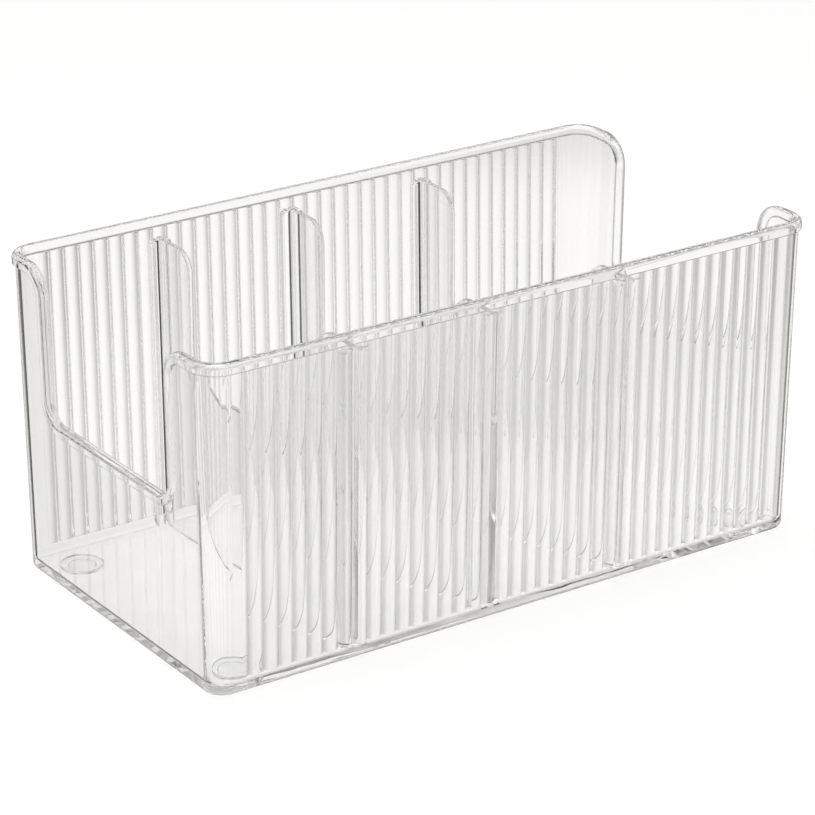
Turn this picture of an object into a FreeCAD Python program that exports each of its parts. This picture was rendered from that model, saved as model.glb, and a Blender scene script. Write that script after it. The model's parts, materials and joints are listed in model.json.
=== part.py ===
"""Clear belt organizer: a reeded bin, three lift-out dividers and four foot pads.

Millimetres, +Z up. The origin is the middle of the footprint, on the surface
that the foot pads stand on. +X runs along the bin and +Y from front to back.
"""
import FreeCAD
import Part
import math
import os

from FreeCAD import Vector

# Overall size of the bin, at the underside of its floor
base_length = 250.0
base_depth = 132.0
bin_height = 121.8
wall = 2.6
floor_thickness = 3.0
draft_degrees = 0.85

# Rounds of the bin
corner_radius = 7.5
bottom_round = 2.2
inner_floor_round = 2.0

# Rim bead, which follows the whole upper edge and both end notches
rim_height = 4.3
rim_overhang = 1.1
rim_outer_round = 1.8
rim_inner_round = 1.4
rim_lower_round = 0.7

# End notches
notch_width = 81.4
notch_floor = 65.5
notch_corner_radius = 7.0
horn_radius = 11.5

# Vertical reeds on the outside of the front and back walls
reed_pitch = 6.0
reed_depth = 1.2
reed_setback = 0.12
reed_foot = 5.6
plain_end = 14.0

# Guides that hold the dividers, a pair of ribs on each long wall
guide_slot = 2.6
guide_rib = 2.7
guide_reach = 3.2
guide_top = 114.4
guide_shoulder = 2.0
guide_tip_round = 0.5
guide_root = 0.8

# Dividers, and the clear widths of the compartments to the left of each one
divider_thickness = 2.0
divider_top = 114.8
divider_side_clearance = 0.4
divider_foot_radius = 4.0
divider_edge_bevel = 0.4
scoop_width = 84.8
scoop_floor = 65.5
scoop_corner_radius = 8.0
divider_horn_radius = 8.0
compartments = {"divider_left": 55.0, "divider_middle": 54.0, "divider_right": 56.0}

# Foot pads, each glued into a shallow round seat under the floor
foot_diameter = 15.6
foot_thickness = 1.6
foot_stand = 0.8
foot_inset = 16.0
foot_edge_bevel = 0.3
foot_dish_diameter = 10.4
foot_dish_depth = 0.4
foot_seat_clearance = 0.25

# Lengths that cutting solids run past what they cut
past = 5.0

lean = math.tan(math.radians(draft_degrees))


def half_length(height, inset=0.0):
    """Half the bin's length at a height above its underside, less an inset."""
    return base_length / 2 + height * lean - inset


def half_depth(height, inset=0.0):
    """Half the bin's depth at a height above its underside, less an inset."""
    return base_depth / 2 + height * lean - inset


def arc(start, middle, end):
    """One circular edge through three points."""
    return Part.Arc(start, middle, end).toShape()


def line(start, end):
    """One straight edge."""
    return Part.LineSegment(start, end).toShape()


def corner_arc(centre_u, centre_v, radius, from_degrees, to_degrees, place):
    """A quarter arc in a plane, where place turns (u, v) into a point."""
    angles = (from_degrees, (from_degrees + to_degrees) / 2, to_degrees)
    points = []
    for degrees in angles:
        turn = math.radians(degrees)
        points.append(place(centre_u + radius * math.cos(turn), centre_v + radius * math.sin(turn)))
    return arc(*points)


def plan_wire(height, inset):
    """The bin's rounded outline in plan at one height, drawn inwards by an inset."""
    x = half_length(height, inset)
    y = half_depth(height, inset)
    r = corner_radius + height * lean - inset

    def at(u, v):
        return Vector(u, v, height)

    edges = [
        line(at(r - x, -y), at(x - r, -y)),
        corner_arc(x - r, r - y, r, -90, 0, at),
        line(at(x, r - y), at(x, y - r)),
        corner_arc(x - r, y - r, r, 0, 90, at),
        line(at(x - r, y), at(r - x, y)),
        corner_arc(r - x, y - r, r, 90, 180, at),
        line(at(-x, y - r), at(-x, r - y)),
        corner_arc(r - x, r - y, r, 180, 270, at),
    ]
    return Part.Wire(edges)


def drafted_block(low, high, inset):
    """A solid block whose four sides lean out with the draft."""
    return Part.makeLoft([plan_wire(low, inset), plan_wire(high, inset)], True, True)


def edges_at_height(shape, height):
    """The edges of a shape that lie wholly at one height."""
    found = []
    for edge in shape.Edges:
        box = edge.BoundBox
        if abs(box.ZMin - height) < 1e-4 and abs(box.ZMax - height) < 1e-4:
            found.append(edge)
    return found


def saddle_wire(x, inset, top, floor, half_gap, corner, horn, reach):
    """The outline, across the bin, of what lies under a notched upper edge.

    An inset moves the whole edge down into the material by an even distance.
    """

    def at(u, v):
        return Vector(x, u, v)

    top -= inset
    floor -= inset
    side = half_gap + inset
    corner += inset
    horn -= inset
    edges = [
        line(at(-reach, -past), at(reach, -past)),
        line(at(reach, -past), at(reach, top)),
        line(at(reach, top), at(side + horn, top)),
        corner_arc(side + horn, top - horn, horn, 90, 180, at),
        line(at(side, top - horn), at(side, floor + corner)),
        corner_arc(side - corner, floor + corner, corner, 0, -90, at),
        line(at(side - corner, floor), at(corner - side, floor)),
        corner_arc(corner - side, floor + corner, corner, 270, 180, at),
        line(at(-side, floor + corner), at(-side, top - horn)),
        corner_arc(-side - horn, top - horn, horn, 0, 90, at),
        line(at(-side - horn, top), at(-reach, top)),
        line(at(-reach, top), at(-reach, -past)),
    ]
    return Part.Wire(edges)


def under_edge(inset):
    """Everything that lies more than an inset below the bin's upper edge."""
    reach_x = half_length(bin_height) + past
    reach_y = half_depth(bin_height) + past
    outline = saddle_wire(-reach_x, inset, bin_height, notch_floor, notch_width / 2,
                          notch_corner_radius, horn_radius, reach_y)
    return Part.Face(outline).extrude(Vector(2 * reach_x, 0, 0))


def reed_cutter(side):
    """What is cut from one long wall to leave its row of rounded reeds.

    The reeds stand almost flush with the plain ends, and the valleys between
    them are cut in. Half a reed at each end rolls back up to the plain wall.
    The row is drawn upright at its foot and then leans back with the wall, so
    that each reed is a true cylinder.
    """
    count = round((base_length - 2 * plain_end) / reed_pitch)
    low = reed_foot
    high = bin_height - rim_height / 2
    face = half_depth(low)
    crest = face - reed_setback
    valley = crest - reed_depth
    first = -count * reed_pitch / 2
    radius = ((reed_pitch / 2) ** 2 + reed_depth ** 2) / (2 * reed_depth)

    def at(u, v):
        return Vector(u, side * v, low)

    def on_reed(middle, offset):
        return at(middle + offset, crest - radius + math.sqrt(radius ** 2 - offset ** 2))

    half = reed_pitch / 2
    edges = [arc(on_reed(first - half, 0), on_reed(first - half, half / 2), at(first, valley))]
    for number in range(count):
        middle = first + (number + 0.5) * reed_pitch
        edges.append(arc(at(middle - half, valley), at(middle, crest), at(middle + half, valley)))
    last = -first
    edges.append(arc(at(last, valley), on_reed(last + half, -half / 2), on_reed(last + half, 0)))
    edges.append(line(at(last + half, crest), at(last + half, face + past)))
    edges.append(line(at(last + half, face + past), at(first - half, face + past)))
    edges.append(line(at(first - half, face + past), at(first - half, crest)))
    cutter = Part.Face(Part.Wire(edges)).extrude(Vector(0, 0, high - low))
    return cutter.rotated(at(0, face), Vector(1, 0, 0), -side * draft_degrees)


def edges_where(shape, first_skin, second_skin):
    """The edges of a shape whose middle lies on both of two skins."""
    found = []
    for edge in shape.Edges:
        middle = edge.valueAt((edge.FirstParameter + edge.LastParameter) / 2)
        spot = Part.Vertex(middle)
        if spot.distToShape(first_skin)[0] < 1e-3 and spot.distToShape(second_skin)[0] < 1e-3:
            found.append(edge)
    return found


def guide_ribs(x):
    """Both pairs of ribs, front and back, that hold a divider whose middle is at x.

    A rib leans with its wall and has one rounded shoulder, away from the slot.
    It is rooted in the wall, short of the valleys of the reeds.
    """
    low = floor_thickness / 2
    reach = half_depth(guide_top)
    walls = drafted_block(low, guide_top, wall - guide_root)
    tips = drafted_block(low - past, guide_top + past, wall + guide_reach)
    tip_skin = tips.Shells[0]
    ribs = []
    for outward in (-1, 1):

        def at(u, v):
            return Vector(x + outward * u, -reach, v)

        near = guide_slot / 2
        far = near + guide_rib
        shoulder = far - guide_shoulder
        edges = [
            line(at(near, low), at(far, low)),
            line(at(far, low), at(far, guide_top - guide_shoulder)),
            corner_arc(shoulder, guide_top - guide_shoulder, guide_shoulder, 0, 90, at),
            line(at(shoulder, guide_top), at(near, guide_top)),
            line(at(near, guide_top), at(near, low)),
        ]
        profile = Part.Face(Part.Wire(edges))
        rib_pair = profile.extrude(Vector(0, 2 * reach, 0)).common(walls).cut(tips)
        for rib in rib_pair.Solids:
            rounded = [edge for edge in edges_where(rib, tip_skin, tip_skin)
                       if edge.BoundBox.ZMax > low + 1e-3]
            ribs.append(rib.makeFillet(guide_tip_round, rounded))
    return ribs


def divider_places():
    """Each divider's name and the middle of its thickness along the bin."""
    places = {}
    x = -half_length(0, wall)
    for name, clear_width in compartments.items():
        x += clear_width + divider_thickness / 2
        places[name] = x
        x += divider_thickness / 2
    return places


def foot_places():
    """Each foot pad's name and its centre in plan."""
    x = base_length / 2 - foot_inset
    y = base_depth / 2 - foot_inset
    return {
        "foot_front_left": (-x, -y),
        "foot_front_right": (x, -y),
        "foot_rear_left": (-x, y),
        "foot_rear_right": (x, y),
    }


def make_rim():
    """The bead along the upper edge, flush inside, proud outside and well rounded."""
    block = drafted_block(0, bin_height + past, -rim_overhang)
    cavity = make_cavity()
    over = under_edge(0)
    under = under_edge(rim_height)
    bead = block.common(over).cut(under).cut(cavity)
    outer_skin = block.Shells[0]
    inner_skin = cavity.Shells[0]
    bead = bead.makeFillet(rim_outer_round, edges_where(bead, outer_skin, over.Shells[0]))
    bead = bead.makeFillet(rim_inner_round, edges_where(bead, inner_skin, over.Shells[0]))
    return bead.makeFillet(rim_lower_round, edges_where(bead, outer_skin, under.Shells[0]))


def make_cavity():
    """The space inside the walls, rounded where they meet the floor."""
    space = drafted_block(floor_thickness, bin_height + past, wall)
    return space.makeFillet(inner_floor_round, edges_at_height(space, floor_thickness))


def make_tray():
    """The bin: drafted walls with reeds, rim bead, end notches, guides and foot seats."""
    block = drafted_block(0, bin_height + past, 0)
    block = block.makeFillet(bottom_round, edges_at_height(block, 0))
    shell = block.common(under_edge(rim_height / 2))
    for side in (-1, 1):
        shell = shell.cut(reed_cutter(side))
    shell = shell.cut(make_cavity())
    bin_solid = shell.fuse(make_rim())
    ribs = []
    for x in divider_places().values():
        ribs.extend(guide_ribs(x))
    bin_solid = bin_solid.fuse(ribs).removeSplitter()
    seat_radius = foot_diameter / 2 + foot_seat_clearance
    for x, y in foot_places().values():
        depth = foot_thickness - foot_stand
        bin_solid = bin_solid.cut(Part.makeCylinder(seat_radius, depth, Vector(x, y, 0)))
    return bin_solid


def make_divider(x):
    """A flat clear plate with a scooped upper edge and bevelled edges, in its guides at x."""
    low = floor_thickness
    left = x - divider_thickness / 2
    gap = wall + divider_side_clearance
    saddle = saddle_wire(left, 0, divider_top, scoop_floor, scoop_width / 2,
                         scoop_corner_radius, divider_horn_radius, half_depth(divider_top) + past)
    plate = Part.Face(saddle).extrude(Vector(divider_thickness, 0, 0))
    sides = [Vector(left, -half_depth(low, gap), low), Vector(left, half_depth(low, gap), low),
             Vector(left, half_depth(bin_height, gap), bin_height),
             Vector(left, -half_depth(bin_height, gap), bin_height)]
    trim = Part.Face(Part.makePolygon(sides + sides[:1])).extrude(Vector(divider_thickness, 0, 0))
    feet = [edge for edge in trim.Edges
            if abs(edge.BoundBox.ZMax - low) < 1e-4 and edge.BoundBox.YLength < 1e-4]
    plate = plate.common(trim.makeFillet(divider_foot_radius, feet))
    outline = [edge for edge in plate.Edges if edge.BoundBox.XLength < 1e-4]
    return plate.makeChamfer(divider_edge_bevel, outline)


def make_foot(x, y):
    """A round pad with a bevelled lower edge and a shallow dish underneath."""
    pad = Part.makeCylinder(foot_diameter / 2, foot_thickness, Vector(x, y, 0))
    pad = pad.makeChamfer(foot_edge_bevel, edges_at_height(pad, 0))
    return pad.cut(Part.makeCylinder(foot_dish_diameter / 2, foot_dish_depth, Vector(x, y, 0)))


def save(name, shape):
    """Write one piece as parts/NAME.step and print its volume."""
    shape.exportStep(f"parts/{name}.step")
    print(name, "valid" if shape.isValid() else "NOT VALID", len(shape.Solids), "solid",
          round(shape.Volume / 1000, 2), "cm3")


def main():
    """Build every piece in its own file."""
    os.makedirs("parts", exist_ok=True)
    lift = Vector(0, 0, foot_stand)
    save("tray", make_tray().translated(lift))
    for name, x in divider_places().items():
        save(name, make_divider(x).translated(lift))
    for name, (x, y) in foot_places().items():
        save(name, make_foot(x, y))


main()
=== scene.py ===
"""Looks of a clear belt organizer: a reeded bin, its lift-out dividers and its foot pads."""
import json
import logging
import math
from dataclasses import dataclass, field
from enum import Enum

import bmesh
import bpy
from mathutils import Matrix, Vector


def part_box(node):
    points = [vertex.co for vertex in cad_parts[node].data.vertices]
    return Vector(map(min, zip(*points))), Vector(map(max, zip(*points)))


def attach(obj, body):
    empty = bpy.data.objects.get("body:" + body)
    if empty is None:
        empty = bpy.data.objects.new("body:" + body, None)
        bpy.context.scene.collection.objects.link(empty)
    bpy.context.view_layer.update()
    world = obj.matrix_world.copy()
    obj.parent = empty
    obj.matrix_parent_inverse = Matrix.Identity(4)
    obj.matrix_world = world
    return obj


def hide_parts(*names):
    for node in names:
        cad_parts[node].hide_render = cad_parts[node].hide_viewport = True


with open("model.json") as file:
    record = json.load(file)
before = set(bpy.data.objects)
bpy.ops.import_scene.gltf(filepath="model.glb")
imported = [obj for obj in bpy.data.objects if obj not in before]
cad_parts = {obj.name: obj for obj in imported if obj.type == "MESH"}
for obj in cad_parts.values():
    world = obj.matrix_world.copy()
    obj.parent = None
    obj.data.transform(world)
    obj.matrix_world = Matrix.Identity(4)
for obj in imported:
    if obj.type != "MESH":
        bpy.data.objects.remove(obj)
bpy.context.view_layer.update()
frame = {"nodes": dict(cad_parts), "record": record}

log = logging.getLogger("belt_organizer")

Colour = tuple[float, float, float]

VIEW_AZIMUTH = 34.28  # degrees from +Y towards +X, the photograph's viewing direction


class Piece(Enum):
    """The kinds of piece that the organizer is made of."""

    TRAY = "tray"
    DIVIDER = "divider"
    FOOT = "foot"


def nodes_of(piece: Piece) -> list[str]:
    """Return the names of the frame's solids that are one kind of piece."""
    return sorted(name for name in frame["nodes"] if name.startswith(piece.value))


def body_of(node: str) -> str:
    """Return the name of the body that carries a solid."""
    bodies = frame["record"]["behaviour"]["bodies"]
    return next(body for body, nodes in bodies.items() if node in nodes)


def rgba(colour: Colour) -> tuple[float, float, float, float]:
    """Return a colour with full alpha."""
    return (*colour, 1.0)


def new_node(tree: bpy.types.NodeTree, kind: str, **settings: object) -> bpy.types.Node:
    """Add a node and set its properties.

    Args:
        tree: The node tree that gets the node.
        kind: Blender's name for the node's type.
        settings: Properties of the node and their values.

    Returns:
        The new node.
    """
    node = tree.nodes.new(kind)
    for name, value in settings.items():
        setattr(node, name, value)
    return node


def new_group(name: str, inputs: dict[str, float], outputs: dict[str, str]) -> bpy.types.NodeTree:
    """Start a shader node group with float inputs and typed outputs.

    Args:
        name: The group's name.
        inputs: Each input's name and default value.
        outputs: Each output's name and socket type.

    Returns:
        The group's node tree, with its input and output nodes in place.
    """
    tree = bpy.data.node_groups.new(name, "ShaderNodeTree")
    for label, value in inputs.items():
        socket = tree.interface.new_socket(name=label, in_out="INPUT", socket_type="NodeSocketFloat")
        socket.default_value = value
    for label, kind in outputs.items():
        tree.interface.new_socket(name=label, in_out="OUTPUT", socket_type=kind)
    new_node(tree, "NodeGroupInput")
    new_node(tree, "NodeGroupOutput")
    return tree


def haze_group() -> bpy.types.NodeTree:
    """Build the faint, patchy haze that handling leaves on polished plastic.

    Returns:
        A group that puts out a roughness.
    """
    tree = new_group(
        "handling_haze",
        {"Patch Scale": 22.0, "Clear Roughness": 0.0, "Hazy Roughness": 0.06},
        {"Roughness": "NodeSocketFloat"},
    )
    source, sink = tree.nodes["Group Input"], tree.nodes["Group Output"]
    place = new_node(tree, "ShaderNodeTexCoord")
    noise = new_node(tree, "ShaderNodeTexNoise")
    noise.inputs["Detail"].default_value = 4.0
    spread = new_node(tree, "ShaderNodeMapRange")
    spread.inputs["From Min"].default_value = 0.45
    spread.inputs["From Max"].default_value = 0.8
    tree.links.new(place.outputs["Object"], noise.inputs["Vector"])
    tree.links.new(source.outputs["Patch Scale"], noise.inputs["Scale"])
    tree.links.new(noise.outputs["Fac"], spread.inputs["Value"])
    tree.links.new(source.outputs["Clear Roughness"], spread.inputs["To Min"])
    tree.links.new(source.outputs["Hazy Roughness"], spread.inputs["To Max"])
    tree.links.new(spread.outputs["Result"], sink.inputs["Roughness"])
    return tree


def waviness_group() -> bpy.types.NodeTree:
    """Build the slow waves that moulded plastic has in its polished faces.

    Returns:
        A group that puts out a height for a bump node.
    """
    tree = new_group(
        "moulding_waves",
        {"Wave Scale": 30.0, "Wave Height": 1.0},
        {"Height": "NodeSocketFloat"},
    )
    source, sink = tree.nodes["Group Input"], tree.nodes["Group Output"]
    place = new_node(tree, "ShaderNodeTexCoord")
    noise = new_node(tree, "ShaderNodeTexNoise")
    noise.inputs["Detail"].default_value = 1.0
    height = new_node(tree, "ShaderNodeMath", operation="MULTIPLY")
    tree.links.new(place.outputs["Object"], noise.inputs["Vector"])
    tree.links.new(source.outputs["Wave Scale"], noise.inputs["Scale"])
    tree.links.new(noise.outputs["Fac"], height.inputs[0])
    tree.links.new(source.outputs["Wave Height"], height.inputs[1])
    tree.links.new(height.outputs["Value"], sink.inputs["Height"])
    return tree


def tint_group() -> bpy.types.NodeTree:
    """Build the slight change of tint that thick and thin flow leaves in clear plastic.

    Returns:
        A group that puts out a colour.
    """
    tree = new_group(
        "flow_tint",
        {"Drift Scale": 6.0, "Low": 0.93, "High": 0.97},
        {"Color": "NodeSocketColor"},
    )
    source, sink = tree.nodes["Group Input"], tree.nodes["Group Output"]
    place = new_node(tree, "ShaderNodeTexCoord")
    noise = new_node(tree, "ShaderNodeTexNoise")
    noise.inputs["Detail"].default_value = 2.0
    level = new_node(tree, "ShaderNodeMapRange")
    tree.links.new(place.outputs["Object"], noise.inputs["Vector"])
    tree.links.new(source.outputs["Drift Scale"], noise.inputs["Scale"])
    tree.links.new(noise.outputs["Fac"], level.inputs["Value"])
    tree.links.new(source.outputs["Low"], level.inputs["To Min"])
    tree.links.new(source.outputs["High"], level.inputs["To Max"])
    tree.links.new(level.outputs["Result"], sink.inputs["Color"])
    return tree


def soft_step(
    tree: bpy.types.NodeTree, value: bpy.types.NodeSocket, start: float, end: float
) -> bpy.types.NodeSocket:
    """Add a node that rises softly from 0 at start to 1 at end.

    Args:
        tree: The node tree that gets the node.
        value: The socket to measure.
        start: The value that gives 0.
        end: The value that gives 1.

    Returns:
        The node's output.
    """
    step = new_node(tree, "ShaderNodeMapRange", interpolation_type="SMOOTHSTEP")
    step.inputs["From Min"].default_value = start
    step.inputs["From Max"].default_value = end
    tree.links.new(value, step.inputs["Value"])
    return step.outputs["Result"]


def combine(
    tree: bpy.types.NodeTree,
    operation: str,
    first: bpy.types.NodeSocket,
    second: bpy.types.NodeSocket | float,
) -> bpy.types.NodeSocket:
    """Add a math node.

    Args:
        tree: The node tree that gets the node.
        operation: Blender's name for the operation.
        first: The first value's socket.
        second: The second value's socket, or a constant.

    Returns:
        The node's output.
    """
    node = new_node(tree, "ShaderNodeMath", operation=operation)
    tree.links.new(first, node.inputs[0])
    if isinstance(second, float):
        node.inputs[1].default_value = second
    else:
        tree.links.new(second, node.inputs[1])
    return node.outputs["Value"]


def mirrored_light(tree: bpy.types.NodeTree) -> bpy.types.NodeSocket:
    """Add the nodes that find light which the plastic has turned aside by mirroring it.

    Args:
        tree: The node tree that gets the nodes.

    Returns:
        The socket that is 1 for light mirrored an odd number of times and 0 otherwise.
    """
    path = new_node(tree, "ShaderNodeLightPath")
    return combine(tree, "MODULO", path.outputs["Glossy Depth"], 2.0)


@dataclass(frozen=True)
class PaintedFloorLight:
    """A pool of light painted into the floor's colour and glow, as the plastic sees it: brightest under and
    behind the object, darker to the sides and far.

    Lengths are in metres from the object's middle, across and along the camera's direction.
    """

    turn: float = math.radians(VIEW_AZIMUTH)
    lit: float = 0.99
    side_edge: tuple[float, float] = (0.15, 0.4)
    side_level: float = 0.5
    far_edge: tuple[float, float] = (0.37, 0.47)
    far_level: float = 0.77
    room_edge: tuple[float, float] = (0.42, 0.6)
    room_level: float = 0.42

    def group(self) -> bpy.types.NodeTree:
        """Build the painted pool of light as a shader node group.

        Returns:
            A group that puts out the painted level of light.
        """
        tree = new_group("painted_floor_light", {"Turn": self.turn}, {"Level": "NodeSocketFloat"})
        source, sink = tree.nodes["Group Input"], tree.nodes["Group Output"]
        place = new_node(tree, "ShaderNodeTexCoord")
        turned = new_node(tree, "ShaderNodeVectorRotate", rotation_type="Z_AXIS")
        split = new_node(tree, "ShaderNodeSeparateXYZ")
        reach = new_node(tree, "ShaderNodeVectorMath", operation="LENGTH")
        sideways = new_node(tree, "ShaderNodeMath", operation="ABSOLUTE")
        tree.links.new(place.outputs["Object"], turned.inputs["Vector"])
        tree.links.new(place.outputs["Object"], reach.inputs[0])
        tree.links.new(source.outputs["Turn"], turned.inputs["Angle"])
        tree.links.new(turned.outputs["Vector"], split.inputs["Vector"])
        tree.links.new(split.outputs["X"], sideways.inputs[0])
        level = None
        for value, edge, end in (
            (sideways.outputs["Value"], self.side_edge, self.side_level),
            (split.outputs["Y"], self.far_edge, self.far_level),
            (reach.outputs["Value"], self.room_edge, self.room_level),
        ):
            drop = combine(tree, "MULTIPLY", soft_step(tree, value, *edge), end - 1.0)
            kept = combine(tree, "ADD", drop, 1.0)
            level = kept if level is None else combine(tree, "MULTIPLY", level, kept)
        tree.links.new(combine(tree, "MULTIPLY", level, self.lit), sink.inputs["Level"])
        return tree


@dataclass(frozen=True)
class Finish:
    """A clear finish: how it tints, bends and blurs what is seen through it, with painted shade that greys
    its edges to the camera.
    """

    name: str
    tint: tuple[float, float]
    drift_scale: float
    roughness: tuple[float, float]
    patch_scale: float
    wave_height: float
    wave_scale: float
    ior: float
    absorption_colour: Colour
    absorption_density: float
    shadow_tint: Colour
    # Painted shade at edges: the facing span over which it comes in, and the grey that the base colour turns
    # to there.
    painted_edge_shade_span: tuple[float, float]
    painted_edge_shade: Colour

    def material(self, groups: dict[str, bpy.types.NodeTree]) -> bpy.types.Material:
        """Make the finish as a material.

        Args:
            groups: The shared node groups, by name.

        Returns:
            The new material.
        """
        made = bpy.data.materials.new(self.name)
        made.use_nodes = True
        tree = made.node_tree
        tree.nodes.clear()
        shader = new_node(tree, "ShaderNodeBsdfPrincipled")
        shader.inputs["Metallic"].default_value = 0.0
        shader.inputs["Transmission Weight"].default_value = 1.0
        shader.inputs["IOR"].default_value = self.ior
        tint = new_node(tree, "ShaderNodeGroup", node_tree=groups["tint"])
        tint.inputs["Drift Scale"].default_value = self.drift_scale
        tint.inputs["Low"].default_value, tint.inputs["High"].default_value = self.tint
        haze = new_node(tree, "ShaderNodeGroup", node_tree=groups["haze"])
        haze.inputs["Patch Scale"].default_value = self.patch_scale
        haze.inputs["Clear Roughness"].default_value = self.roughness[0]
        haze.inputs["Hazy Roughness"].default_value = self.roughness[1]
        waves = new_node(tree, "ShaderNodeGroup", node_tree=groups["waves"])
        waves.inputs["Wave Scale"].default_value = self.wave_scale
        waves.inputs["Wave Height"].default_value = self.wave_height
        bump = new_node(tree, "ShaderNodeBump")
        bump.inputs["Strength"].default_value = 1.0
        bump.inputs["Distance"].default_value = 0.001
        path = new_node(tree, "ShaderNodeLightPath")
        passing = new_node(tree, "ShaderNodeBsdfTransparent")
        passing.inputs["Color"].default_value = rgba(self.shadow_tint)
        mix = new_node(tree, "ShaderNodeMixShader")
        inside = new_node(tree, "ShaderNodeVolumeAbsorption")
        inside.inputs["Color"].default_value = rgba(self.absorption_colour)
        inside.inputs["Density"].default_value = self.absorption_density
        out = new_node(tree, "ShaderNodeOutputMaterial")
        # Painted shade: for camera rays the base colour turns grey where the surface is seen edge-on,
        # standing in for the dark lines that refraction draws at edges.
        glance = new_node(tree, "ShaderNodeLayerWeight")
        glance.inputs["Blend"].default_value = 0.5
        edge = new_node(tree, "ShaderNodeMix", data_type="RGBA")
        edge.inputs["B"].default_value = rgba(self.painted_edge_shade)
        grazing = soft_step(tree, glance.outputs["Facing"], *self.painted_edge_shade_span)
        painted_edge_shade_mask = combine(tree, "MULTIPLY", grazing, path.outputs["Is Camera Ray"])
        tree.links.new(painted_edge_shade_mask, edge.inputs["Factor"])
        tree.links.new(tint.outputs["Color"], edge.inputs["A"])
        tree.links.new(edge.outputs["Result"], shader.inputs["Base Color"])
        tree.links.new(haze.outputs["Roughness"], shader.inputs["Roughness"])
        tree.links.new(waves.outputs["Height"], bump.inputs["Height"])
        tree.links.new(bump.outputs["Normal"], shader.inputs["Normal"])
        tree.links.new(path.outputs["Is Shadow Ray"], mix.inputs["Fac"])
        tree.links.new(shader.outputs["BSDF"], mix.inputs[1])
        tree.links.new(passing.outputs["BSDF"], mix.inputs[2])
        tree.links.new(mix.outputs["Shader"], out.inputs["Surface"])
        tree.links.new(inside.outputs["Volume"], out.inputs["Volume"])
        return made


CRYSTAL_TRAY = Finish(
    name="clear_tray_plastic",
    tint=(0.965, 0.99),
    drift_scale=9.0,
    roughness=(0.0, 0.03),
    patch_scale=26.0,
    wave_height=0.05,
    wave_scale=45.0,
    ior=1.5,
    absorption_colour=(0.7, 0.68, 0.65),
    absorption_density=2.0,
    shadow_tint=(0.975, 0.975, 0.975),
    painted_edge_shade_span=(0.66, 0.88),
    painted_edge_shade=(0.42, 0.42, 0.42),
)

CRYSTAL_DIVIDER = Finish(
    name="clear_divider_plastic",
    tint=(0.96, 0.985),
    drift_scale=12.0,
    roughness=(0.0, 0.03),
    patch_scale=30.0,
    wave_height=0.04,
    wave_scale=40.0,
    ior=1.5,
    absorption_colour=(0.7, 0.68, 0.65),
    absorption_density=2.0,
    shadow_tint=(0.975, 0.975, 0.975),
    painted_edge_shade_span=(0.66, 0.88),
    painted_edge_shade=(0.42, 0.42, 0.42),
)

SOFT_SILICONE = Finish(
    name="clear_foot_silicone",
    tint=(0.96, 0.985),
    drift_scale=120.0,
    roughness=(0.02, 0.1),
    patch_scale=160.0,
    wave_height=0.1,
    wave_scale=300.0,
    ior=1.41,
    absorption_colour=(0.8, 0.8, 0.78),
    absorption_density=6.0,
    shadow_tint=(0.97, 0.97, 0.97),
    painted_edge_shade_span=(0.66, 0.88),
    painted_edge_shade=(0.42, 0.42, 0.42),
)


@dataclass
class DressedNode:
    """One solid of the frame that keeps its shape and gets a finish."""

    node: str
    finish: Finish

    def dress(self, materials: dict[str, bpy.types.Material]) -> bpy.types.Object:
        """Give the node's slots the finish.

        Args:
            materials: The finishes as materials, by finish name.

        Returns:
            The node's object.
        """
        shown = frame["nodes"][self.node]
        for slot in shown.material_slots:
            slot.material = materials[self.finish.name]
        return shown


def place_in_scene(shape: bmesh.types.BMesh, name: str) -> bpy.types.Object:
    """Turn a finished shape into an object of the scene.

    Args:
        shape: The shape, which is freed.
        name: The name of the object and of its mesh.

    Returns:
        The new object.
    """
    mesh = bpy.data.meshes.new(name)
    shape.to_mesh(mesh)
    shape.free()
    made = bpy.data.objects.new(name, mesh)
    bpy.context.scene.collection.objects.link(made)
    return made


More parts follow.
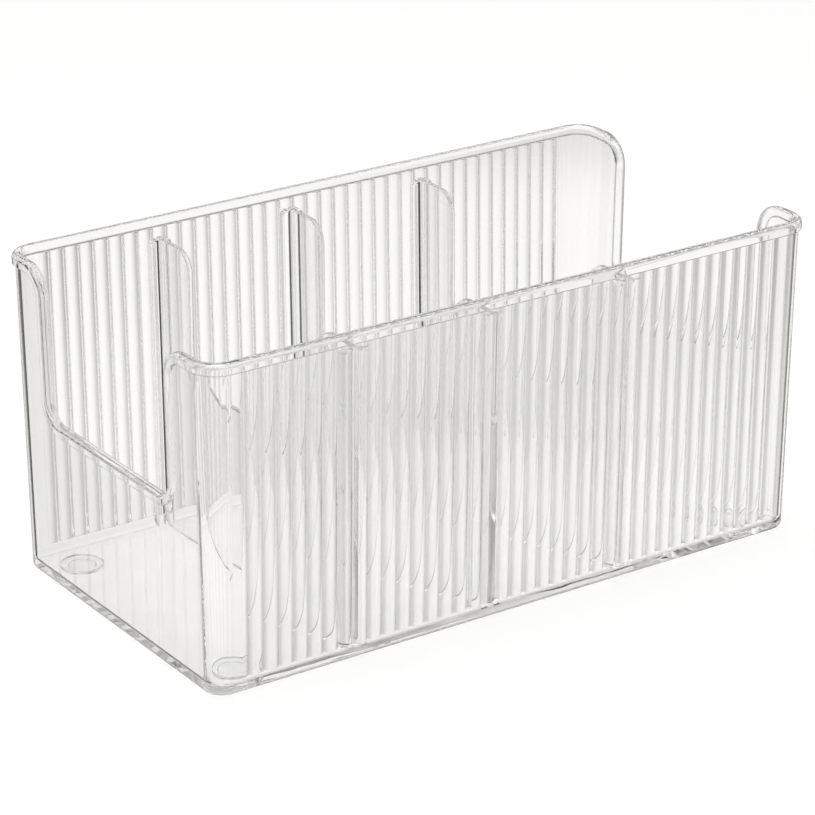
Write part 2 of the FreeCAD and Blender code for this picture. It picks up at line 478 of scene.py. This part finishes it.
@dataclass
class DividerPlate:
    """A flat clear plate with a scooped upper edge and rounded edges, standing in its guides."""

    node: str
    finish: Finish
    body: str
    slot: str = "clear_divider"
    draft: float = math.radians(0.85)
    foot_radius: float = 0.004
    scoop_half_width: float = 0.0424
    scoop_height: float = 0.0663
    scoop_radius: float = 0.008
    horn_radius: float = 0.008
    edge_round: float = 0.0005
    edge_steps: int = 4
    corner_steps: int = 20
    crease: float = math.radians(40)
    standing_gap: float = 0.00002

    def corner(
        self, centre: tuple[float, float], radius: float, start: float, end: float
    ) -> list[tuple[float, float]]:
        """Work out the points of one round corner.

        Args:
            centre: The middle of the arc.
            radius: Its radius.
            start: The angle at which it starts, in degrees.
            end: The angle at which it ends, in degrees.

        Returns:
            Points across and up.
        """
        points = []
        for step in range(self.corner_steps + 1):
            angle = math.radians(start + (end - start) * step / self.corner_steps)
            points.append((centre[0] + radius * math.cos(angle), centre[1] + radius * math.sin(angle)))
        return points

    def outline(self, inset: float) -> list[tuple[float, float]]:
        """Work out the plate's outline, drawn inwards by an inset.

        Args:
            inset: The distance to the plate's real outline.

        Returns:
            Points across and up, anticlockwise from the bottom's middle.
        """
        low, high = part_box(self.node)
        bottom = low[2] + self.standing_gap + inset
        top = high[2] - inset
        side = high[1] - inset / math.cos(self.draft)
        lean = math.tan(self.draft)
        foot = self.foot_radius - inset
        foot_setback = foot * (1.0 - math.sin(self.draft)) / math.cos(self.draft)
        foot_middle = side - (high[2] - bottom) * lean - foot_setback
        scoop = self.scoop_half_width + inset
        floor = self.scoop_height - inset
        horn = self.horn_radius - inset
        dip = self.scoop_radius + inset
        half = self.corner((foot_middle, bottom + foot), foot, -90.0, -math.degrees(self.draft))
        half.append((side - inset * lean, top))
        half += self.corner((scoop + horn, top - horn), horn, 90.0, 180.0)
        half += self.corner((scoop - dip, floor + dip), dip, 0.0, -90.0)
        return half + [(-across, up) for across, up in reversed(half)]

    def build(self) -> bpy.types.Object:
        """Make the plate with rounded edges and let it stand for its CAD node.

        Returns:
            The plate's object.
        """
        low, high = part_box(self.node)
        middle = (low[0] + high[0]) / 2
        half = (high[0] - low[0]) / 2
        round_ = self.edge_round
        levels = []
        for step in range(self.edge_steps + 1):
            angle = math.pi / 2 * step / self.edge_steps
            levels.append((round_ * (1.0 - math.sin(angle)), half - round_ * (1.0 - math.cos(angle))))
        levels += [(inset, -out) for inset, out in reversed(levels)]
        shape = bmesh.new()
        rings = []
        for inset, out in levels:
            rings.append([shape.verts.new((middle + out, across, up)) for across, up in self.outline(inset)])
        shape.faces.new(rings[0])
        shape.faces.new(list(reversed(rings[-1])))
        for near, far in zip(rings, rings[1:]):
            for step in range(len(near)):
                shape.faces.new((near[step - 1], far[step - 1], far[step], near[step]))
        bmesh.ops.recalc_face_normals(shape, faces=shape.faces)
        for face in shape.faces:
            face.smooth = True
        for edge in shape.edges:
            beside_flat = any(len(face.verts) > 4 for face in edge.link_faces)
            edge.smooth = not beside_flat and edge.calc_face_angle(0.0) < self.crease
        plate = place_in_scene(shape, f"{self.node}_plate")
        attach(plate, self.body)
        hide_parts(self.node)
        return plate

    def dress(self, materials: dict[str, bpy.types.Material]) -> bpy.types.Object:
        """Build the plate and give it its finish.

        Args:
            materials: The finishes as materials, by finish name.

        Returns:
            The plate's object.
        """
        plate = self.build()
        plate.data.materials.append(materials[self.finish.name])
        return plate


@dataclass
class FootPad:
    """A round pad of clear silicone that beds into its seat under the tray."""

    node: str
    finish: Finish
    body: str
    slot: str = "clear_foot"
    edge_round: float = 0.0003
    dish_radius: float = 0.0052
    dish_depth: float = 0.0004
    dish_slope: float = 0.0005
    bedding: float = 0.00002
    corner_steps: int = 5
    around: int = 96
    crease: float = math.radians(30)

    def profile(self, radius: float, bottom: float, top: float) -> list[tuple[float, float]]:
        """Work out the pad's outline from the top's middle round to the dish's middle.

        Args:
            radius: The pad's radius.
            bottom: The height of its underside.
            top: The height of its top face.

        Returns:
            Points of radius and height.
        """
        points = [(0.0, top)]
        round_ = self.edge_round
        for centre, start in ((top - round_, math.pi / 2), (bottom + round_, 0.0)):
            for step in range(self.corner_steps + 1):
                angle = start - math.pi / 2 * step / self.corner_steps
                points.append((radius - round_ + round_ * math.cos(angle), centre + round_ * math.sin(angle)))
        points.append((self.dish_radius, bottom))
        points.append((self.dish_radius - self.dish_slope, bottom + self.dish_depth))
        points.append((0.0, bottom + self.dish_depth))
        return points

    def build(self) -> bpy.types.Object:
        """Turn the outline round the pad's axis and let the pad stand for its CAD node.

        Returns:
            The pad's object.
        """
        low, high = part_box(self.node)
        middle = Vector(((low[0] + high[0]) / 2, (low[1] + high[1]) / 2, 0.0))
        outline = self.profile((high[0] - low[0]) / 2, low[2], high[2] + self.bedding)
        shape = bmesh.new()
        rings = []
        for radius, height in outline:
            count = self.around if radius else 1
            ring = []
            for step in range(count):
                angle = 2 * math.pi * step / count
                spoke = Vector((radius * math.cos(angle), radius * math.sin(angle), height))
                ring.append(shape.verts.new(middle + spoke))
            rings.append(ring)
        for upper, lower in zip(rings, rings[1:]):
            for step in range(self.around):
                after = (step + 1) % self.around
                corners = [upper[step % len(upper)], lower[step % len(lower)]]
                if len(lower) > 1:
                    corners.append(lower[after])
                if len(upper) > 1:
                    corners.append(upper[after])
                shape.faces.new(corners)
        bmesh.ops.recalc_face_normals(shape, faces=shape.faces)
        for face in shape.faces:
            face.smooth = True
        for edge in shape.edges:
            edge.smooth = edge.calc_face_angle(0.0) < self.crease
        pad = place_in_scene(shape, f"{self.node}_pad")
        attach(pad, self.body)
        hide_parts(self.node)
        return pad

    def dress(self, materials: dict[str, bpy.types.Material]) -> bpy.types.Object:
        """Build the pad and give it its finish.

        Args:
            materials: The finishes as materials, by finish name.

        Returns:
            The pad's object.
        """
        pad = self.build()
        pad.data.materials.append(materials[self.finish.name])
        return pad


@dataclass
class Organizer:
    """The whole object: the tray, its dividers and its foot pads."""

    tray: DressedNode = field(default_factory=lambda: DressedNode(Piece.TRAY.value, CRYSTAL_TRAY))
    dividers: list[DividerPlate] = field(
        default_factory=lambda: [
            DividerPlate(name, CRYSTAL_DIVIDER, body_of(name)) for name in nodes_of(Piece.DIVIDER)
        ]
    )
    feet: list[FootPad] = field(
        default_factory=lambda: [FootPad(name, SOFT_SILICONE, body_of(name)) for name in nodes_of(Piece.FOOT)]
    )

    def dress(self) -> None:
        """Make the finishes and give them to every piece."""
        groups = {"haze": haze_group(), "waves": waviness_group(), "tint": tint_group()}
        finishes = (CRYSTAL_TRAY, CRYSTAL_DIVIDER, SOFT_SILICONE)
        materials = {finish.name: finish.material(groups) for finish in finishes}
        for piece in [self.tray, *self.dividers, *self.feet]:
            piece.dress(materials)
            log.info("dressed %s as %s", piece.node, piece.finish.name)


@dataclass(frozen=True)
class Surround:
    """The room round the table, as the plastic shows it.

    Panels stand all round below the horizon: soft ones for light that the plastic only bends, and crisp ones
    for light that it has mirrored. A panel is a direction in degrees, turned from +Y towards +X, and its
    level. A sky step is the sine of an elevation and its level.
    """

    soft_panels: tuple[tuple[float, float], ...] = (
        (-180.0, 1.0),
        (-45.0, 1.0),
        (-14.0, 0.05),
        (2.0, 0.05),
        (24.0, 1.0),
        (44.0, 1.0),
        (66.0, 0.08),
        (80.0, 0.12),
        (110.0, 1.0),
        (180.0, 1.0),
    )
    crisp_panels: tuple[tuple[float, float], ...] = (
        (-180.0, 0.6),
        (-120.0, 0.9),
        (-60.0, 0.8),
        (-34.0, 0.95),
        (-23.0, 0.05),
        (3.0, 0.05),
        (14.0, 1.0),
        (54.0, 1.0),
        (62.0, 0.12),
        (78.0, 0.15),
        (88.0, 0.65),
        (120.0, 0.9),
        (150.0, 0.4),
        (180.0, 0.6),
    )
    sky: tuple[tuple[float, float], ...] = (
        (0.0, 0.04),
        (0.26, 0.06),
        (0.35, 0.95),
        (0.42, 0.95),
        (0.48, 0.05),
        (0.62, 0.05),
        (0.7, 0.9),
        (1.0, 0.9),
    )
    warmth: Colour = (1.0, 0.99, 0.97)

    def ramp(self, tree: bpy.types.NodeTree, steps: list[tuple[float, float]]) -> bpy.types.Node:
        """Add a soft ramp of greys, neutral at its ends and slightly warm between them.

        Args:
            tree: The node tree that gets the node.
            steps: Positions from 0 to 1, and the level at each.

        Returns:
            The new node.
        """
        ramp = new_node(tree, "ShaderNodeValToRGB")
        ramp.color_ramp.interpolation = "EASE"
        stops = ramp.color_ramp.elements
        first, *between, last = steps
        for stop, (position, level) in zip(stops, (first, last)):
            stop.position = position
            stop.color = rgba((level, level, level))
        for position, level in between:
            red, green, blue = self.warmth
            stops.new(position).color = rgba((level * red, level * green, level * blue))
        return ramp

    def colour(self, tree: bpy.types.NodeTree) -> bpy.types.NodeSocket:
        """Add the nodes that colour the room by direction.

        Args:
            tree: The world's node tree.

        Returns:
            The socket of the room's colour.
        """
        place = new_node(tree, "ShaderNodeTexCoord")
        split = new_node(tree, "ShaderNodeSeparateXYZ")
        tree.links.new(place.outputs["Generated"], split.inputs["Vector"])
        turn = new_node(tree, "ShaderNodeMath", operation="ARCTAN2")
        tree.links.new(split.outputs["X"], turn.inputs[0])
        tree.links.new(split.outputs["Y"], turn.inputs[1])
        share = combine(tree, "ADD", combine(tree, "MULTIPLY", turn.outputs["Value"], 0.5 / math.pi), 0.5)
        rings = new_node(tree, "ShaderNodeMix", data_type="RGBA")
        for panels, socket in ((self.soft_panels, "A"), (self.crisp_panels, "B")):
            ring = self.ramp(tree, [(degrees / 360.0 + 0.5, level) for degrees, level in panels])
            tree.links.new(share, ring.inputs["Fac"])
            tree.links.new(ring.outputs["Color"], rings.inputs[socket])
        tree.links.new(mirrored_light(tree), rings.inputs["Factor"])
        above = self.ramp(tree, list(self.sky))
        tree.links.new(split.outputs["Z"], above.inputs["Fac"])
        both = new_node(tree, "ShaderNodeMix", data_type="RGBA")
        tree.links.new(combine(tree, "GREATER_THAN", split.outputs["Z"], 0.0), both.inputs["Factor"])
        tree.links.new(rings.outputs["Result"], both.inputs["A"])
        tree.links.new(above.outputs["Color"], both.inputs["B"])
        return both.outputs["Result"]


@dataclass(frozen=True)
class SoftBox:
    """A large soft lamp."""

    name: str
    place: Vector
    aim: Vector
    width: float
    height: float
    watts: float

    def build(self) -> bpy.types.Object:
        """Make the lamp, hidden from the camera itself.

        Returns:
            The lamp's object.
        """
        data = bpy.data.lights.new(self.name, "AREA")
        data.shape = "RECTANGLE"
        data.size = self.width
        data.size_y = self.height
        data.energy = self.watts
        lamp = bpy.data.objects.new(self.name, data)
        lamp.location = self.place
        lamp.rotation_mode = "QUATERNION"
        lamp.rotation_quaternion = (self.aim - self.place).to_track_quat("-Z", "Y")
        lamp.visible_camera = False
        bpy.context.scene.collection.objects.link(lamp)
        return lamp


@dataclass
class Studio:
    """The pale floor, the soft light and the camera.

    The floor's gap is the share of the light bent by the plastic that passes through the floor.
    """

    floor_half_width: float = 6.0
    floor_drop: float = 0.0001
    camera_place: Vector = field(default_factory=lambda: Vector((-0.6671, -0.97585, 0.5526)))
    camera_azimuth: float = VIEW_AZIMUTH
    camera_elevation: float = 22.81
    lens: float = 156.31
    sensor: float = 36.0
    floor_albedo: float = 0.55
    floor_glow: float = 0.5
    floor_gap: float = 0.45
    most_bounces: int = 128
    plastic_bounces: int = 96
    passing_bounces: int = 32
    # The painted pool of light that the floor shows to the plastic.
    table: PaintedFloorLight = field(default_factory=PaintedFloorLight)
    surround: Surround = field(default_factory=Surround)

    def build_floor(self) -> bpy.types.Object:
        """Make the floor, which shows white and keeps the object's shadow; to the plastic it shows a painted
        pool of light.

        Light that the plastic has mirrored passes through it and meets the room instead, and so does a part
        of the light that the plastic has bent.

        Returns:
            The floor's object.
        """
        half = self.floor_half_width
        mesh = bpy.data.meshes.new("studio_floor")
        corners = [(-half, -half, 0.0), (half, -half, 0.0), (half, half, 0.0), (-half, half, 0.0)]
        mesh.from_pydata(corners, [], [(0, 1, 2, 3)])
        floor = bpy.data.objects.new("studio_floor", mesh)
        floor.location.z = -self.floor_drop
        bpy.context.scene.collection.objects.link(floor)
        made = bpy.data.materials.new("white_floor")
        made.use_nodes = True
        tree = made.node_tree
        tree.nodes.clear()
        painted_floor_level = new_node(tree, "ShaderNodeGroup", node_tree=self.table.group())
        path = new_node(tree, "ShaderNodeLightPath")
        seen = new_node(tree, "ShaderNodeMix", data_type="FLOAT")
        seen.inputs["B"].default_value = 1.0
        card = new_node(tree, "ShaderNodeBsdfDiffuse")
        glow = new_node(tree, "ShaderNodeEmission")
        add = new_node(tree, "ShaderNodeAddShader")
        passing = new_node(tree, "ShaderNodeBsdfTransparent")
        mix = new_node(tree, "ShaderNodeMixShader")
        out = new_node(tree, "ShaderNodeOutputMaterial")
        tree.links.new(path.outputs["Is Camera Ray"], seen.inputs["Factor"])
        tree.links.new(painted_floor_level.outputs["Level"], seen.inputs["A"])
        level = seen.outputs["Result"]
        # Painted pool of light: for rays from the plastic, the floor's colour and glow follow the painted
        # level; for the camera they stay even.
        tree.links.new(combine(tree, "MULTIPLY", level, self.floor_albedo), card.inputs["Color"])
        tree.links.new(combine(tree, "MULTIPLY", level, self.floor_glow), glow.inputs["Strength"])
        tree.links.new(card.outputs["BSDF"], add.inputs[0])
        tree.links.new(glow.outputs["Emission"], add.inputs[1])
        bent = combine(tree, "MULTIPLY", path.outputs["Is Transmission Ray"], self.floor_gap)
        tree.links.new(combine(tree, "MAXIMUM", mirrored_light(tree), bent), mix.inputs["Fac"])
        tree.links.new(add.outputs["Shader"], mix.inputs[1])
        tree.links.new(passing.outputs["BSDF"], mix.inputs[2])
        tree.links.new(mix.outputs["Shader"], out.inputs["Surface"])
        mesh.materials.append(made)
        return floor

    def build_world(self) -> None:
        """Make the surroundings: white to the camera, panels and sky to the plastic."""
        world = bpy.data.worlds.new("studio")
        bpy.context.scene.world = world
        world.use_nodes = True
        tree = world.node_tree
        tree.nodes.clear()
        white = new_node(tree, "ShaderNodeBackground")
        white.inputs["Color"].default_value = rgba((1.0, 1.0, 1.0))
        white.inputs["Strength"].default_value = 1.0
        room = new_node(tree, "ShaderNodeBackground")
        room.inputs["Strength"].default_value = 1.0
        path = new_node(tree, "ShaderNodeLightPath")
        mix = new_node(tree, "ShaderNodeMixShader")
        out = new_node(tree, "ShaderNodeOutputWorld")
        tree.links.new(self.surround.colour(tree), room.inputs["Color"])
        tree.links.new(path.outputs["Is Camera Ray"], mix.inputs["Fac"])
        tree.links.new(room.outputs["Background"], mix.inputs[1])
        tree.links.new(white.outputs["Background"], mix.inputs[2])
        tree.links.new(mix.outputs["Shader"], out.inputs["Surface"])

    def build_lights(self) -> None:
        """Hang the soft boxes."""
        middle = Vector((0.0, 0.0, 0.06))
        boxes = [
            SoftBox("top_box", Vector((-0.1, 0.05, 1.5)), middle, width=1.2, height=1.0, watts=8.0),
            SoftBox("left_box", Vector((-1.3, 0.1, 0.6)), middle, width=0.5, height=0.9, watts=2.0),
            SoftBox("right_box", Vector((1.2, -0.6, 0.7)), middle, width=0.4, height=0.9, watts=1.5),
        ]
        for box in boxes:
            box.build()

    def build_camera(self) -> None:
        """Set the camera at the photograph's viewing angle."""
        data = bpy.data.cameras.new("camera")
        data.lens = self.lens
        data.sensor_width = self.sensor
        data.sensor_fit = "HORIZONTAL"
        data.clip_start = 0.01
        data.clip_end = 50.0
        camera = bpy.data.objects.new("camera", data)
        turn = math.radians(self.camera_azimuth)
        tilt = math.radians(self.camera_elevation)
        forward = Vector((math.sin(turn) * math.cos(tilt), math.cos(turn) * math.cos(tilt), -math.sin(tilt)))
        camera.location = self.camera_place
        camera.rotation_mode = "QUATERNION"
        camera.rotation_quaternion = forward.to_track_quat("-Z", "Y")
        bpy.context.scene.collection.objects.link(camera)
        bpy.context.scene.camera = camera

    def build(self) -> None:
        """Make the whole studio."""
        scene = bpy.context.scene
        scene.view_settings.view_transform = "Standard"
        scene.cycles.max_bounces = self.most_bounces
        scene.cycles.transmission_bounces = self.plastic_bounces
        scene.cycles.glossy_bounces = self.plastic_bounces
        scene.cycles.transparent_max_bounces = self.passing_bounces
        self.build_floor()
        self.build_world()
        self.build_lights()
        self.build_camera()


def main() -> None:
    """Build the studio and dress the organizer."""
    logging.basicConfig(level=logging.INFO, format="%(message)s")
    Studio().build()
    Organizer().dress()


if __name__ == "__main__":
    main()
